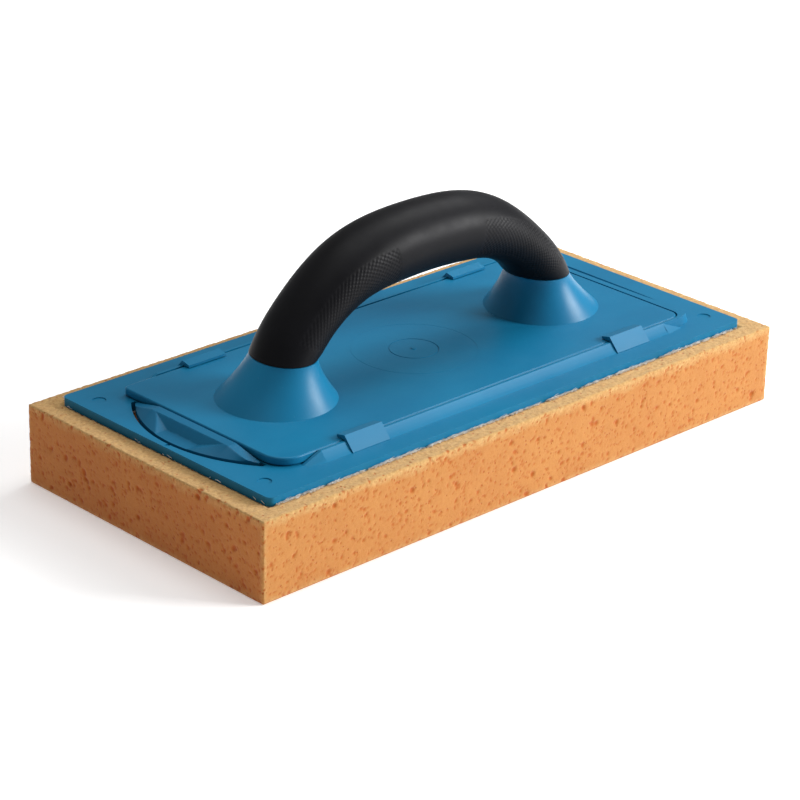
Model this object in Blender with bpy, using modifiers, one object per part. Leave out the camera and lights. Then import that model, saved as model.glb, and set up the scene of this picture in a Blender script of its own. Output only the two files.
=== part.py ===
"""Sponge float: a sponge pad bonded to a base plate, and an arch handle on a plate that slides out.

Metres, +Z up. The origin is the middle of the sponge's underside, the length runs along X, and the
release latch is at the -X end. The handle plate leaves the base plate towards -X.
"""

import math

import bmesh
import bpy
from mathutils import Matrix, Vector

MM = 0.001
GAP = 0.3 * MM
THROUGH = 5 * MM

# Sponge and the fibre layer that bonds the base plate to it
SPONGE_LENGTH = 280 * MM
SPONGE_WIDTH = 137 * MM
SPONGE_HEIGHT = 33.1 * MM
SPONGE_EDGE = 1.2 * MM
SEAT_DEPTH = 1.8 * MM
SEAT_MARGIN = 0.8 * MM
POCKET_FLOOR = 26.5 * MM
FELT_THICKNESS = 0.8 * MM
FELT_INSET = 0.4 * MM
FELT_GAP = 0.2 * MM

# Base plate
PLATE_LENGTH = 260 * MM
PLATE_WIDTH = 121 * MM
PLATE_CORNER = 2.6 * MM
PLATE_THICKNESS = 3.6 * MM
PLATE_TOP = SPONGE_HEIGHT + 3.2 * MM
PLATE_BOTTOM = PLATE_TOP - PLATE_THICKNESS
SINK = 0.8 * MM

# Handle plate and the rails, stop and clips that hold it
HANDLE_PLATE_LEFT = -111.5 * MM
HANDLE_PLATE_RIGHT = 109.0 * MM
HANDLE_PLATE_WIDTH = 92 * MM
HANDLE_PLATE_CORNER = 10 * MM
HANDLE_PLATE_BOTTOM = PLATE_TOP + GAP
HANDLE_PLATE_TOP = PLATE_TOP + 3.5 * MM
RAIL_INNER = HANDLE_PLATE_WIDTH / 2 + 0.5 * MM
RAIL_CREST = 1.3 * MM
RAIL_FOOT = 4.9 * MM
RAIL_WALL_FOOT = 2.6 * MM
RAIL_LEFT = -101 * MM
RAIL_RAMP = 5 * MM
RAIL_SLOPE_END = 96 * MM
RAIL_SLOPE_RUN = 7.5 * MM
RAMP_SINK = 0.1 * MM
STOP_INNER = HANDLE_PLATE_RIGHT + 0.4 * MM
STOP_CREST = 3.4 * MM
STOP_FOOT = 5.8 * MM
STOP_CORNER = 6 * MM
STOP_CORNER_CREST = 2.4 * MM
STOP_CORNER_FOOT = 4.4 * MM
STOP_CORNER_POWER = 2.2
STOP_CORNER_STEPS = 5
CLIP_LENGTH = 19 * MM
CLIP_CENTRES = (-71.5 * MM, 74 * MM)
CLIP_REACH = 3.8 * MM
CLIP_RIDGE = 2.2 * MM
CLIP_TONGUE = 1.0 * MM
CLIP_PROUD = 0.3 * MM

# Release latch: a half-lens thumb pad on a flexing tongue
LATCH_HALF_CHORD = 37 * MM
LATCH_DEPTH = 13.6 * MM
LATCH_REAR = HANDLE_PLATE_LEFT - 1.2 * MM
LATCH_RIM = 3.9 * MM
LATCH_ROOT = -84 * MM
LATCH_NECK_WIDTH = 38 * MM
LATCH_THICKNESS = 2.0 * MM
LATCH_SLOT = 1.1 * MM
LATCH_WINDOW_STEPS = 24
LATCH_LEVEL = 22 * MM
LATCH_FOOT = 0.5 * MM
LATCH_TIP_GAP = 1.2 * MM
LATCH_ROWS = 30
LATCH_COLUMNS = 10
SCOOP_FLOOR = 0.35 * MM
SCOOP_BACK = 3.3 * MM
SCOOP_HALF = 9 * MM
SCOOP_TOP_HALF = 20 * MM

# Bosses of the handle plate
BOSS_FOOT_X = 73.3 * MM
BOSS_TOP_X = 69.8 * MM
BOSS_TOP_Z = 56.3 * MM
BOSS_FOOT_RADIUS = 24.0 * MM
BOSS_FLARE = 1.35
BOSS_WALL = 2.4 * MM
BOSS_CEILING = 3.0 * MM
BOSS_STEPS = 8
SOCKET_RADIUS = 7.0 * MM
SOCKET_REACH = 5 * MM

# Handle: middle line of one half as (x, z), with the section's in-plane and lateral half widths
HANDLE_STATIONS = (
    ((0.0, 88.2), 14.2, 15.5),
    ((17.5, 87.5), 14.4, 15.5),
    ((33.6, 85.0), 13.4, 15.4),
    ((47.5, 78.6), 11.6, 15.2),
    ((61.5, 67.6), 10.2, 15.0),
    ((69.8, 56.6), 12.0, 14.8),
)
CORE_RADIUS = 6.6 * MM
CORE_HOLE_START = -2 * MM
SECTION_POINTS = 28
HANDLE_STEPS = 30
HANDLE_EASING = 5
FOOT_TURN = 1.5

# Handle fasteners
SCREW_RADIUS = 2.2 * MM
SCREW_LENGTH = 9.5 * MM
SCREW_POINT = 1.5 * MM
SCREW_HEAD_RADIUS = 4.6 * MM
SCREW_HEAD_HEIGHT = 2.6 * MM
SCREW_POINT_SHARE = 0.7
SCREW_RIM_SHARE = 0.6
SCREW_CROWN_SHARE = 0.8
SCREW_RECESS_RADIUS = 1.6 * MM
SCREW_RECESS_DEPTH = 1.2 * MM
SCREW_RECESS_SHARE = 0.8
WASHER_RADIUS = 8.5 * MM
WASHER_BORE = 2.6 * MM
WASHER_THICKNESS = 1.4 * MM

ROUND_SEGMENTS = 32


def clear_scene():
    for item in list(bpy.data.objects):
        bpy.data.objects.remove(item)


def new_collection(name):
    collection = bpy.data.collections.new(name)
    bpy.context.scene.collection.children.link(collection)
    return collection


def material(name, colour, roughness, metallic=0.0):
    made = bpy.data.materials.new(name)
    made.use_nodes = True
    shader = made.node_tree.nodes["Principled BSDF"]
    shader.inputs["Base Color"].default_value = (*colour, 1.0)
    shader.inputs["Roughness"].default_value = roughness
    shader.inputs["Metallic"].default_value = metallic
    return made


def place(name, mesh, collection):
    """A mesh as a named object, in one collection."""
    made = bpy.data.objects.new(name, mesh)
    collection.objects.link(made)
    return made


def boolean(target, tool, operation):
    """An exact Boolean modifier that stays on the target."""
    tool.hide_render = True
    tool.display_type = "WIRE"
    step = target.modifiers.new(tool.name, "BOOLEAN")
    step.operation = operation
    step.solver = "EXACT"
    step.object = tool


def extruded(name, outline, thickness, frame, collection):
    """A flat outline as a filled 2D curve of the given thickness, made a mesh in world axes."""
    curve = bpy.data.curves.new(name, "CURVE")
    curve.dimensions = "2D"
    curve.fill_mode = "BOTH"
    curve.extrude = thickness / 2
    spline = curve.splines.new("POLY")
    spline.points.add(len(outline) - 1)
    for point, (x, y) in zip(spline.points, outline):
        point.co = (x, y, 0, 1)
    spline.use_cyclic_u = True
    guide = bpy.data.objects.new(name + "_outline", curve)
    bpy.context.scene.collection.objects.link(guide)
    guide.matrix_world = frame
    graph = bpy.context.evaluated_depsgraph_get()
    mesh = bpy.data.meshes.new_from_object(guide.evaluated_get(graph))
    mesh.transform(frame)
    bpy.data.objects.remove(guide)
    shape = bmesh.new()
    shape.from_mesh(mesh)
    bmesh.ops.remove_doubles(shape, verts=shape.verts, dist=0.00001)
    bmesh.ops.recalc_face_normals(shape, faces=shape.faces)
    shape.to_mesh(mesh)
    shape.free()
    return place(name, mesh, collection)


def slab(name, outline, bottom, top, collection):
    """An outline in plan, between two heights."""
    middle = Matrix.Translation((0, 0, (bottom + top) / 2))
    return extruded(name, outline, top - bottom, middle, collection)


def rail_bar(name, section, start, end, collection):
    """A (y, z) section run along X."""
    turn = Matrix(((0, 0, 1), (1, 0, 0), (0, 1, 0))).to_4x4()
    frame = Matrix.Translation(((start + end) / 2, 0, 0)) @ turn
    return extruded(name, section, end - start, frame, collection)


def arc(centre, radius, first, last, steps):
    """Points on an arc, with angles in degrees."""
    angles = [math.radians(first + (last - first) * i / steps) for i in range(steps + 1)]
    return [(centre[0] + radius * math.cos(a), centre[1] + radius * math.sin(a)) for a in angles]


def rounded_rectangle(left, right, low, high, radius, steps=5):
    corners = (
        ((right - radius, high - radius), 0),
        ((left + radius, high - radius), 90),
        ((left + radius, low + radius), 180),
        ((right - radius, low + radius), 270),
    )
    points = []
    for centre, angle in corners:
        points += arc(centre, radius, angle, angle + 90, steps)
    return points


def loft(name, rings, collection, closed=False):
    """A skin through rings of equal count: capped at both ends, or joined end to end."""
    shape = bmesh.new()
    loops = [[shape.verts.new(point) for point in ring] for ring in rings]
    count = len(loops[0])
    pairs = list(zip(loops, loops[1:] + loops[:1] if closed else loops[1:]))
    for lower, upper in pairs:
        for i in range(count):
            j = (i + 1) % count
            shape.faces.new((lower[i], lower[j], upper[j], upper[i]))
    if not closed:
        shape.faces.new(loops[0][::-1])
        shape.faces.new(loops[-1])
    bmesh.ops.recalc_face_normals(shape, faces=shape.faces)
    mesh = bpy.data.meshes.new(name)
    shape.to_mesh(mesh)
    shape.free()
    mesh.shade_smooth()
    return place(name, mesh, collection)


def turned(name, profile, location, collection, steps=ROUND_SEGMENTS):
    """A profile of (radius, z) points turned about a vertical axis with a Screw modifier."""
    mesh = bpy.data.meshes.new(name)
    shape = bmesh.new()
    verts = [shape.verts.new((radius, 0, z)) for radius, z in profile]
    for a, b in zip(verts, verts[1:]):
        shape.edges.new((a, b))
    shape.to_mesh(mesh)
    shape.free()
    made = place(name, mesh, collection)
    made.location = location
    step = made.modifiers.new("turn", "SCREW")
    step.axis = "Z"
    step.angle = 2 * math.pi
    step.steps = steps
    step.render_steps = steps
    step.use_merge_vertices = True
    step.merge_threshold = 0.00001
    return made


def handle_line():
    """Stations of the whole handle from -X to +X: centre, in-plane and lateral half widths."""
    half = [((x * MM, z * MM), p * MM, q * MM) for (x, z), p, q in HANDLE_STATIONS]
    left = [((-x, z), p, q) for (x, z), p, q in half[:0:-1]]
    return left + half


def smooth_value(values, place_on_line):
    """Catmull-Rom through the values, at a place counted in stations."""
    i = min(int(place_on_line), len(values) - 2)
    t = place_on_line - i
    before = values[i - 1] if i > 0 else 2 * values[0] - values[1]
    after = values[i + 2] if i + 2 < len(values) else 2 * values[-1] - values[-2]
    a, b = values[i], values[i + 1]
    return 0.5 * (
        2 * a + (b - before) * t + (2 * before - 5 * a + 4 * b - after) * t * t
        + (3 * a - before - 3 * b + after) * t ** 3
    )


def eased(rows):
    """Average each inner row with its neighbours, to take the kinks out of a sweep."""
    for _ in range(HANDLE_EASING):
        inner = zip(rows, rows[1:], rows[2:])
        middle = [tuple((a + 2 * b + c) / 4 for a, b, c in zip(*three)) for three in inner]
        rows = [rows[0], *middle, rows[-1]]
    return rows


def handle_frames():
    """Along the handle: centre, outward direction in the XZ plane, and the two half widths."""
    stations = handle_line()
    last = len(stations) - 1
    columns = (
        [x for (x, _), _, _ in stations],
        [z for (_, z), _, _ in stations],
        [p for _, p, _ in stations],
        [q for _, _, q in stations],
    )
    rows = []
    for step in range(HANDLE_STEPS + 1):
        rows.append(tuple(smooth_value(column, last * step / HANDLE_STEPS) for column in columns))
    rows = eased(rows)
    frames = []
    for step, (x, z, in_plane, lateral) in enumerate(rows):
        ahead = rows[min(step + 1, HANDLE_STEPS)]
        behind = rows[max(step - 1, 0)]
        normal = Vector((behind[1] - ahead[1], 0, ahead[0] - behind[0])).normalized()
        level = Vector((math.copysign(1, x), 0, 0))
        reach = last * min(step, HANDLE_STEPS - step) / HANDLE_STEPS
        blend = max(0.0, 1 - reach) ** FOOT_TURN
        outward = (normal * (1 - blend) + level * blend).normalized()
        frames.append((Vector((x, 0, z)), outward, in_plane, lateral))
    return frames


def section(centre, outward, in_plane, lateral, count=SECTION_POINTS):
    """An ellipse across the handle."""
    points = []
    for i in range(count):
        angle = 2 * math.pi * i / count
        sideways = Vector((0, lateral * math.sin(angle), 0))
        points.append(centre + outward * (in_plane * math.cos(angle)) + sideways)
    return points


def sponge_pad(parts, cutters):
    half_length = SPONGE_LENGTH / 2
    half_width = SPONGE_WIDTH / 2
    outline = rounded_rectangle(-half_length, half_length, -half_width, half_width, SPONGE_EDGE, 2)
    pad = slab("sponge_pad", outline, 0, SPONGE_HEIGHT, parts)
    reach = PLATE_LENGTH / 2 + SEAT_MARGIN
    side = PLATE_WIDTH / 2 + SEAT_MARGIN
    seat_outline = rounded_rectangle(-reach, reach, -side, side, PLATE_CORNER)
    seat = slab("sponge_seat_cut", seat_outline, SPONGE_HEIGHT - SEAT_DEPTH, SPONGE_HEIGHT + THROUGH, cutters)
    boolean(pad, seat, "DIFFERENCE")
    pocket = latch_window("sponge_pocket_cut", LATCH_SLOT, POCKET_FLOOR, SPONGE_HEIGHT + THROUGH, cutters)
    boolean(pad, pocket, "DIFFERENCE")
    return pad


def bonding_felt(parts, cutters):
    reach = PLATE_LENGTH / 2 - FELT_INSET
    side = PLATE_WIDTH / 2 - FELT_INSET
    outline = rounded_rectangle(-reach, reach, -side, side, PLATE_CORNER - FELT_INSET)
    top = PLATE_BOTTOM - FELT_GAP
    felt = slab("bonding_felt", outline, top - FELT_THICKNESS, top, parts)
    window = latch_window("felt_window_cut", LATCH_SLOT, top - THROUGH, top + THROUGH, cutters)
    boolean(felt, window, "DIFFERENCE")
    return felt


def latch_arc_x(y):
    """The outer edge of the thumb pad, an arc over the chord at its rear."""
    radius = (LATCH_HALF_CHORD ** 2 + LATCH_DEPTH ** 2) / (2 * LATCH_DEPTH)
    rise = math.sqrt(radius ** 2 - y ** 2) - (radius - LATCH_DEPTH)
    return LATCH_REAR - rise


def latch_window(name, slot, bottom, top, collection):
    """The opening that the latch sits in, a slot's width wider than the latch."""
    neck = LATCH_NECK_WIDTH / 2 + slot
    chord = LATCH_HALF_CHORD + slot
    outline = [
        (LATCH_ROOT + slot, -neck),
        (LATCH_ROOT + slot, neck),
        (LATCH_REAR + slot, neck),
        (LATCH_REAR + slot, chord),
    ]
    for i in range(LATCH_WINDOW_STEPS + 1):
        y = LATCH_HALF_CHORD * (1 - 2 * i / LATCH_WINDOW_STEPS)
        outline.append((latch_arc_x(y) - slot, y * chord / LATCH_HALF_CHORD))
    outline.append((LATCH_REAR + slot, -chord))
    outline.append((LATCH_REAR + slot, -neck))
    return slab(name, outline[::-1], bottom, top, collection)


def ridge_section(x, y, direction, crest, foot, top):
    """One section of the ridge: its inner wall stands at (x, y), and it leans outward along direction."""
    low = PLATE_TOP - SINK
    base = min(top, PLATE_TOP)
    dx, dy = direction
    return [
        Vector((x, y, low)),
        Vector((x, y, top)),
        Vector((x + dx * crest, y + dy * crest, top)),
        Vector((x + dx * foot, y + dy * foot, base)),
        Vector((x + dx * foot, y + dy * foot, low)),
    ]


def corner_reach(angle, side_width, end_width):
    """How far a rounded corner reaches at an angle, between the widths of the two ridges that meet."""
    across = abs(math.cos(angle)) / end_width
    along = abs(math.sin(angle)) / side_width
    return (across ** STOP_CORNER_POWER + along ** STOP_CORNER_POWER) ** (-1 / STOP_CORNER_POWER)


def ridge_half():
    """Sections of the ridge from the front rail's ramp to the stop."""
    y = -RAIL_INNER
    front = (0, -1)
    top = HANDLE_PLATE_TOP
    slope_stop = RAIL_SLOPE_END + RAIL_SLOPE_RUN
    half = [
        ridge_section(RAIL_LEFT, y, front, RAIL_CREST, RAIL_FOOT, PLATE_TOP - RAMP_SINK),
        ridge_section(RAIL_LEFT + RAIL_RAMP, y, front, RAIL_CREST, RAIL_FOOT, top),
        ridge_section(RAIL_SLOPE_END, y, front, RAIL_CREST, RAIL_FOOT, top),
        ridge_section(slope_stop, y, front, RAIL_CREST, RAIL_WALL_FOOT, top),
    ]
    for i in range(STOP_CORNER_STEPS + 1):
        angle = math.pi / 2 * (i / STOP_CORNER_STEPS - 1)
        crest = corner_reach(angle, RAIL_CREST, STOP_CORNER_CREST)
        foot = corner_reach(angle, RAIL_WALL_FOOT, STOP_CORNER_FOOT)
        outward = (math.cos(angle), math.sin(angle))
        half.append(ridge_section(STOP_INNER, y, outward, crest, foot, top))
    for i in range(1, STOP_CORNER_STEPS + 1):
        share = i / STOP_CORNER_STEPS
        full = math.sqrt(1 - (1 - share) ** 2)
        crest = STOP_CORNER_CREST + (STOP_CREST - STOP_CORNER_CREST) * full
        foot = STOP_CORNER_FOOT + (STOP_FOOT - STOP_CORNER_FOOT) * full
        half.append(ridge_section(STOP_INNER, y + STOP_CORNER * share, (1, 0), crest, foot, top))
    return half


def ridge(cutters):
    """The two rails and the stop as one raised ridge, open at the latch end."""
    front = ridge_half()
    rear = []
    for section_points in front[::-1]:
        rear.append([Vector((p.x, -p.y, p.z)) for p in section_points])
    return loft("ridge", front + rear, cutters)


def clip_outline(sign):
    """A roof-shaped clip as (y, z): a tongue over the handle plate, a crown and a sloping back."""
    foot = PLATE_TOP - SINK
    top = HANDLE_PLATE_TOP
    clip_foot = RAIL_INNER + RAIL_FOOT + CLIP_PROUD
    return [
        (sign * (RAIL_INNER - CLIP_REACH), top + GAP),
        (sign * (RAIL_INNER - CLIP_REACH), top + GAP + CLIP_TONGUE),
        (sign * (RAIL_INNER + CLIP_PROUD), top + CLIP_RIDGE),
        (sign * clip_foot, PLATE_TOP + CLIP_PROUD),
        (sign * clip_foot, foot),
        (sign * (RAIL_INNER + CLIP_PROUD), foot),
        (sign * (RAIL_INNER + CLIP_PROUD), top + GAP),
    ]


def base_plate(parts, cutters):
    reach = PLATE_LENGTH / 2
    side = PLATE_WIDTH / 2
    outline = rounded_rectangle(-reach, reach, -side, side, PLATE_CORNER)
    plate = slab("base_plate", outline, PLATE_BOTTOM, PLATE_TOP, parts)
    boolean(plate, ridge(cutters), "UNION")
    for sign, end in ((-1, "front"), (1, "rear")):
        for centre, where in zip(CLIP_CENTRES, ("left", "right")):
            half = CLIP_LENGTH / 2
            bar = rail_bar(f"clip_{end}_{where}", clip_outline(sign), centre - half, centre + half, cutters)
            boolean(plate, bar, "UNION")
    window = latch_window("latch_window_cut", LATCH_SLOT, PLATE_BOTTOM - MM, PLATE_TOP + MM, cutters)
    boolean(plate, window, "DIFFERENCE")
    return plate


def latch_rise(x, y):
    """Height of the thumb pad over the plate: a lens with sloping ends and walls, and a scoop in its middle."""
    reach = abs(y)
    arc_x = latch_arc_x(y)
    full = HANDLE_PLATE_TOP - PLATE_TOP
    ramp = (reach - LATCH_LEVEL) / (LATCH_HALF_CHORD - LATCH_TIP_GAP - LATCH_LEVEL)
    crown = full - max(0.0, ramp) * (full - LATCH_FOOT)
    rim_x = LATCH_REAR - LATCH_RIM
    envelope = crown
    if x < rim_x and rim_x > arc_x:
        envelope = LATCH_FOOT + (crown - LATCH_FOOT) * (x - arc_x) / (rim_x - arc_x)
    back = (x - (rim_x - SCOOP_BACK)) / SCOOP_BACK
    flank = (reach - SCOOP_HALF) / (SCOOP_TOP_HALF - SCOOP_HALF)
    scoop = SCOOP_FLOOR + (full - SCOOP_FLOOR) * max(0.0, back, flank)
    return min(envelope, scoop)


def release_latch(parts):
    """The thumb pad as a sculpted top over a flat underside, with its flexing tongue."""
    bottom = PLATE_TOP - LATCH_THICKNESS
    shape = bmesh.new()
    end = LATCH_HALF_CHORD - LATCH_TIP_GAP
    shares = [column / LATCH_COLUMNS for column in range(LATCH_COLUMNS + 1)]
    top_grid = []
    low_grid = []
    for row in range(LATCH_ROWS + 1):
        y = -end + 2 * end * row / LATCH_ROWS
        outer = latch_arc_x(y)
        top_row = []
        low_row = []
        for share in shares:
            x = LATCH_REAR + (outer - LATCH_REAR) * share
            top_row.append(shape.verts.new((x, y, PLATE_TOP + latch_rise(x, y))))
            low_row.append(shape.verts.new((x, y, bottom)))
        top_grid.append(top_row)
        low_grid.append(low_row)
    rows = len(top_grid) - 1
    columns = len(shares) - 1
    for i in range(rows):
        for j in range(columns):
            for grid in (top_grid, low_grid):
                shape.faces.new((grid[i][j], grid[i][j + 1], grid[i + 1][j + 1], grid[i + 1][j]))
        for j in (0, columns):
            shape.faces.new((top_grid[i][j], top_grid[i + 1][j], low_grid[i + 1][j], low_grid[i][j]))
    for i in (0, rows):
        for j in range(columns):
            shape.faces.new((top_grid[i][j], top_grid[i][j + 1], low_grid[i][j + 1], low_grid[i][j]))
    bmesh.ops.recalc_face_normals(shape, faces=shape.faces)
    mesh = bpy.data.meshes.new("release_latch")
    shape.to_mesh(mesh)
    shape.free()
    return place("release_latch", mesh, parts)


def latch_tongue(cutters):
    half = LATCH_NECK_WIDTH / 2
    outline = [
        (LATCH_REAR - LATCH_RIM / 2, -half),
        (LATCH_ROOT, -half),
        (LATCH_ROOT, half),
        (LATCH_REAR - LATCH_RIM / 2, half),
    ]
    return slab("latch_tongue", outline, PLATE_TOP - LATCH_THICKNESS, PLATE_TOP - GAP / 3, cutters)


def boss_rings(sign, shrink, low, high, steps=BOSS_STEPS):
    """Rings of a trumpet boss that leans inwards, from its foot up, shrunk by a wall's thickness."""
    _, _, top_x, top_y = handle_frames()[-1]
    rings = []
    for step in range(steps + 1):
        z = low + (high - low) * step / steps
        t = (BOSS_TOP_Z - z) / (BOSS_TOP_Z - HANDLE_PLATE_TOP)
        flare = max(0.0, t) ** BOSS_FLARE
        centre_x = BOSS_TOP_X + (BOSS_FOOT_X - BOSS_TOP_X) * t
        half_x = top_x + (BOSS_FOOT_RADIUS - top_x) * flare - shrink
        half_y = top_y + (BOSS_FOOT_RADIUS - top_y) * flare - shrink
        ring = []
        for i in range(ROUND_SEGMENTS):
            angle = 2 * math.pi * i / ROUND_SEGMENTS
            x = centre_x + half_x * math.cos(angle)
            ring.append(Vector((sign * x, half_y * math.sin(angle), z)))
        rings.append(ring)
    return rings


def handle_plate(parts, cutters):
    side = HANDLE_PLATE_WIDTH / 2
    left_end = arc((HANDLE_PLATE_LEFT + HANDLE_PLATE_CORNER, side - HANDLE_PLATE_CORNER),
                   HANDLE_PLATE_CORNER, 90, 180, 6)
    left_end += arc((HANDLE_PLATE_LEFT + HANDLE_PLATE_CORNER, HANDLE_PLATE_CORNER - side),
                    HANDLE_PLATE_CORNER, 180, 270, 6)
    outline = left_end + [(HANDLE_PLATE_RIGHT, -side), (HANDLE_PLATE_RIGHT, side)]
    plate = slab("handle_plate", outline, HANDLE_PLATE_BOTTOM, HANDLE_PLATE_TOP, parts)
    for sign, end in ((-1, "left"), (1, "right")):
        outer = loft(f"boss_{end}", boss_rings(sign, 0, HANDLE_PLATE_TOP - MM, BOSS_TOP_Z), cutters)
        boolean(plate, outer, "UNION")
        ceiling = BOSS_TOP_Z - BOSS_CEILING
        hollow_rings = boss_rings(sign, BOSS_WALL, HANDLE_PLATE_BOTTOM - MM, ceiling)
        hollow = loft(f"boss_hollow_{end}", hollow_rings, cutters)
        boolean(plate, hollow, "DIFFERENCE")
        socket = turned(
            f"boss_socket_{end}",
            [
                (0, SOCKET_REACH),
                (SOCKET_RADIUS, SOCKET_REACH),
                (SOCKET_RADIUS, -SOCKET_REACH),
                (0, -SOCKET_REACH),
            ],
            (sign * BOSS_TOP_X, 0, BOSS_TOP_Z - BOSS_CEILING / 2),
            cutters,
        )
        boolean(plate, socket, "DIFFERENCE")
    return plate


def handle_core(parts, cutters):
    """A rod inside the grip, with a spigot at each end that fills the boss's socket."""
    rings = []
    frames = handle_frames()
    foot = BOSS_TOP_Z - BOSS_CEILING
    ends = []
    for centre, outward, _, _ in (frames[0], frames[-1]):
        low = Vector((centre.x, 0, foot))
        ends.append(section(low, outward, CORE_RADIUS, CORE_RADIUS, SECTION_POINTS // 2))
    rings.append(ends[0])
    for centre, outward, _, _ in frames:
        rings.append(section(centre, outward, CORE_RADIUS, CORE_RADIUS, SECTION_POINTS // 2))
    rings.append(ends[1])
    core = loft("handle_core", rings, parts)
    for sign, end in ((-1, "left"), (1, "right")):
        radius = SCREW_RADIUS + GAP
        depth = SCREW_LENGTH - SCREW_POINT
        hole = turned(
            f"core_hole_{end}",
            [(0, depth), (radius, depth), (radius, CORE_HOLE_START), (0, CORE_HOLE_START)],
            (sign * BOSS_TOP_X, 0, foot),
            cutters,
            12,
        )
        boolean(core, hole, "DIFFERENCE")
    return core


def handle_grip(parts):
    """The soft overmould: an elliptical sweep with the core's bore through it."""
    frames = handle_frames()
    bore = CORE_RADIUS + GAP
    outer = [section(c, outward, p, q) for c, outward, p, q in frames]
    inner = [section(c, outward, bore, bore) for c, outward, _, _ in frames]
    return loft("handle_grip", outer + inner[::-1], parts, closed=True)


def handle_fastener(sign, end, parts):
    """A pan-head screw up into the core, and the washer under its head."""
    x = sign * BOSS_TOP_X
    washer_top = BOSS_TOP_Z - BOSS_CEILING - GAP
    washer = turned(
        f"handle_washer_{end}",
        [
            (WASHER_BORE, 0),
            (WASHER_RADIUS, 0),
            (WASHER_RADIUS, -WASHER_THICKNESS),
            (WASHER_BORE, -WASHER_THICKNESS),
            (WASHER_BORE, 0),
        ],
        (x, 0, washer_top),
        parts,
        24,
    )
    head_top = washer_top - WASHER_THICKNESS - GAP
    low = -SCREW_HEAD_HEIGHT
    profile = [
        (0, SCREW_LENGTH),
        (SCREW_POINT_SHARE * SCREW_RADIUS, SCREW_LENGTH),
        (SCREW_RADIUS, SCREW_LENGTH - SCREW_POINT),
        (SCREW_RADIUS, 0),
        (SCREW_HEAD_RADIUS, 0),
        (SCREW_HEAD_RADIUS, SCREW_RIM_SHARE * low),
        (SCREW_CROWN_SHARE * SCREW_HEAD_RADIUS, low),
        (SCREW_RECESS_RADIUS, low),
        (SCREW_RECESS_SHARE * SCREW_RECESS_RADIUS, low + SCREW_RECESS_DEPTH),
        (0, low + SCREW_RECESS_DEPTH),
    ]
    screw = turned(f"handle_screw_{end}", profile, (x, 0, head_top), parts, 20)
    return screw, washer


def joint_empty(name, location, collection):
    guide = bpy.data.objects.new(name, None)
    guide.location = location
    guide.empty_display_size = 10 * MM
    collection.objects.link(guide)
    return guide


def attach(children, parent):
    """Parent without moving: the child keeps its world place."""
    bpy.context.view_layer.update()
    for child in children:
        world = child.matrix_world.copy()
        child.parent = parent
        child.matrix_parent_inverse = parent.matrix_world.inverted()
        child.matrix_world = world


def main():
    clear_scene()
    parts = new_collection("sponge_float")
    cutters = new_collection("cutters")

    sponge_foam = material("orange_sponge", (0.80, 0.34, 0.12), 0.95)
    white_fibre = material("white_fibre", (0.85, 0.83, 0.78), 0.95)
    blue_plate = material("petrol_blue_plastic", (0.02, 0.20, 0.36), 0.42)
    blue_handle_plate = material("petrol_blue_moulding", (0.02, 0.19, 0.34), 0.40)
    blue_latch = material("petrol_blue_latch", (0.02, 0.21, 0.38), 0.42)
    black_rubber = material("black_soft_grip", (0.012, 0.012, 0.013), 0.55)
    black_core = material("black_hard_plastic", (0.03, 0.03, 0.03), 0.45)
    steel = material("zinc_plated_steel", (0.60, 0.60, 0.58), 0.35, 1.0)

    pad = sponge_pad(parts, cutters)
    pad.data.materials.append(sponge_foam)
    felt = bonding_felt(parts, cutters)
    felt.data.materials.append(white_fibre)
    plate = base_plate(parts, cutters)
    plate.data.materials.append(blue_plate)

    latch = release_latch(parts)
    boolean(latch, latch_tongue(cutters), "UNION")
    latch.data.materials.append(blue_latch)

    carrier = handle_plate(parts, cutters)
    carrier.data.materials.append(blue_handle_plate)
    core = handle_core(parts, cutters)
    core.data.materials.append(black_core)
    grip = handle_grip(parts)
    grip.data.materials.append(black_rubber)
    fasteners = []
    for sign, end in ((-1, "left"), (1, "right")):
        fasteners += handle_fastener(sign, end, parts)
    for fastener in fasteners:
        fastener.data.materials.append(steel)

    hinge_height = PLATE_TOP - LATCH_THICKNESS / 2
    latch_axis = joint_empty("latch_axis", (LATCH_ROOT, 0, hinge_height), cutters)
    attach([latch], latch_axis)
    slide_axis = joint_empty("handle_slide_axis", (0, 0, HANDLE_PLATE_BOTTOM), cutters)
    attach([carrier, core, grip, *fasteners], slide_axis)


main()
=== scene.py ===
"""The looks of a sponge float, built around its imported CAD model. Metres, +Z up, length along X.

The latch end is -X, and the side that the camera sees is -Y. The origin is under the sponge's middle.
"""

import math
import random

import bmesh
import bpy
import numpy as np
from mathutils import Matrix, Vector, noise
from mathutils.kdtree import KDTree


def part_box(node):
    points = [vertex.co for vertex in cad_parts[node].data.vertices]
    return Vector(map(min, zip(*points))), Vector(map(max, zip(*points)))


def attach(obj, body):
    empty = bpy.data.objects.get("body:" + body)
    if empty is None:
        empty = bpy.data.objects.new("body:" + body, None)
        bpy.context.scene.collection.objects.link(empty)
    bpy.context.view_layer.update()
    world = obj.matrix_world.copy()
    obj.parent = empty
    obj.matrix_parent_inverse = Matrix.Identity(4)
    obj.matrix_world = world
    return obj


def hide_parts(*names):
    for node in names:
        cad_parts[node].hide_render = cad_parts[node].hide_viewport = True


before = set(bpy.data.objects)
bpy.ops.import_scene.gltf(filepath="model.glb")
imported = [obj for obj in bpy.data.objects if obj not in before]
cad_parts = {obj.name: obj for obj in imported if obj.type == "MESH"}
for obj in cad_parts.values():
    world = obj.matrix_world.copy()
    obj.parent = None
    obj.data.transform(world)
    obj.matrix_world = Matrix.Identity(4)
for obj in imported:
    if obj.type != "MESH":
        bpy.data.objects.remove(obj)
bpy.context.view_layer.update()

MM = 0.001
SEED = 11

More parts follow.
